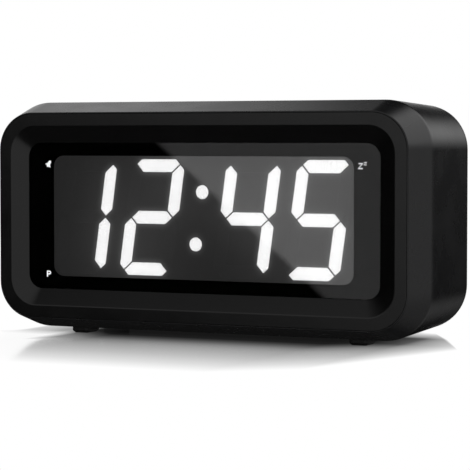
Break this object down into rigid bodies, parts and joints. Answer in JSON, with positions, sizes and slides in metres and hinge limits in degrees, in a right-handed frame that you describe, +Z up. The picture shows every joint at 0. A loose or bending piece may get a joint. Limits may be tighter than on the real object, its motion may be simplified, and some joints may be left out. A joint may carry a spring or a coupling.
{
  "type": "alarm clock",
  "caption": "Tabletop alarm clock: tapered rounded cabinet, large slanted segment display behind a smoked lens, snooze bar, rear keys and battery bay.",
  "frame": {"origin": "on the table, under the middle of the clock's box", "axes": "+X to the clock's right as its reader sees it, +Y from the display to the back, +Z up"},
  "size_m": [0.15, 0.048, 0.0761],
  "materials": {
    "bezel_plastic": "satin black ABS moulding",
    "cabinet_plastic": "satin black ABS moulding with a fine spark texture",
    "key_plastic": "satin black ABS key",
    "smoked_lens": "polished smoked acrylic",
    "black_print": "black screen print",
    "grey_filter": "grey translucent film",
    "reflector_plastic": "moulded reflector",
    "lit_diffuser": "white light block, lit",
    "unlit_diffuser": "white light block behind the filter, dark",
    "led_package": "moulded light chip",
    "circuit_board": "green solder resist",
    "chip_resin": "black resin",
    "tin_can": "tinned can",
    "capacitor_sleeve": "dark sleeve",
    "cable_jacket": "grey jacket",
    "switch_body": "black resin",
    "switch_shell": "tinned steel shell",
    "screw_steel": "plated steel",
    "buzzer_case": "black case",
    "cell_jacket": "printed steel jacket, plain",
    "contact_metal": "nickel-plated spring steel",
    "lead_jacket": "insulated lead",
    "foot_rubber": "soft black rubber pad"
  },
  "bodies": {
    "clock": {"front_bezel": "bezel_plastic", "cabinet": "cabinet_plastic", "rear_cover": "cabinet_plastic", "display_lens": "smoked_lens", "border_mask": "black_print", "display_filter": "grey_filter", "segment_reflector": "reflector_plastic", "lit_segments": "lit_diffuser", "unlit_segments": "unlit_diffuser", "led_chips": "led_package", "display_board": "circuit_board", "controller_chip": "chip_resin", "quartz_crystal": "tin_can", "capacitors": "capacitor_sleeve", "ribbon_cable": "cable_jacket", "key_board": "circuit_board", "tact_switches": "switch_body", "slide_switches": "switch_shell", "snooze_board": "circuit_board", "snooze_switch": "switch_body", "snooze_screws": "screw_steel", "buzzer": "buzzer_case", "battery_cell_1": "cell_jacket", "battery_cell_2": "cell_jacket", "battery_cell_3": "cell_jacket", "battery_cell_4": "cell_jacket", "contact_springs": "contact_metal", "contact_plates": "contact_metal", "battery_leads": "lead_jacket", "case_screws": "screw_steel", "board_screws": "screw_steel", "foot_front_left": "foot_rubber", "foot_front_right": "foot_rubber", "foot_rear_left": "foot_rubber", "foot_rear_right": "foot_rubber"},
    "snooze": {"snooze_bar": "key_plastic", "snooze_plunger": "switch_body"},
    "hour_key": {"hour_button": "key_plastic", "hour_plunger": "switch_body"},
    "minute_key": {"minute_button": "key_plastic", "minute_plunger": "switch_body"},
    "time_key": {"time_button": "key_plastic", "time_plunger": "switch_body"},
    "alarm_key": {"alarm_button": "key_plastic", "alarm_plunger": "switch_body"},
    "alarm_switch": {"alarm_switch_knob": "key_plastic"},
    "brightness_switch": {"brightness_switch_knob": "key_plastic"},
    "door": {"battery_door": "cabinet_plastic"}
  },
  "joints": [
    {"name": "snooze_press", "type": "slide", "parent": "clock", "child": "snooze", "axis": [0, 0, 1], "range_m": [-0.0006, 0], "stiffness_N_per_m": 600, "springref_m": 0.001},
    {"name": "hour_press", "type": "slide", "parent": "clock", "child": "hour_key", "axis": [0, 1, 0], "range_m": [-0.0005, 0], "stiffness_N_per_m": 1000, "springref_m": 0.0006},
    {"name": "minute_press", "type": "slide", "parent": "clock", "child": "minute_key", "axis": [0, 1, 0], "range_m": [-0.0005, 0], "stiffness_N_per_m": 1000, "springref_m": 0.0006},
    {"name": "time_press", "type": "slide", "parent": "clock", "child": "time_key", "axis": [0, 1, 0], "range_m": [-0.0005, 0], "stiffness_N_per_m": 1000, "springref_m": 0.0006},
    {"name": "alarm_press", "type": "slide", "parent": "clock", "child": "alarm_key", "axis": [0, 1, 0], "range_m": [-0.0005, 0], "stiffness_N_per_m": 1000, "springref_m": 0.0006},
    {"name": "alarm_switch_slide", "type": "slide", "parent": "clock", "child": "alarm_switch", "axis": [1, 0, 0], "range_m": [0, 0.004]},
    {"name": "brightness_switch_slide", "type": "slide", "parent": "clock", "child": "brightness_switch", "axis": [1, 0, 0], "range_m": [0, 0.004]},
    {"name": "door_turn", "type": "hinge", "parent": "clock", "child": "door", "pos_m": [0, 0.023, 0.00841], "axis": [-1, 0, 0], "range_deg": [0, 75]}
  ]
}
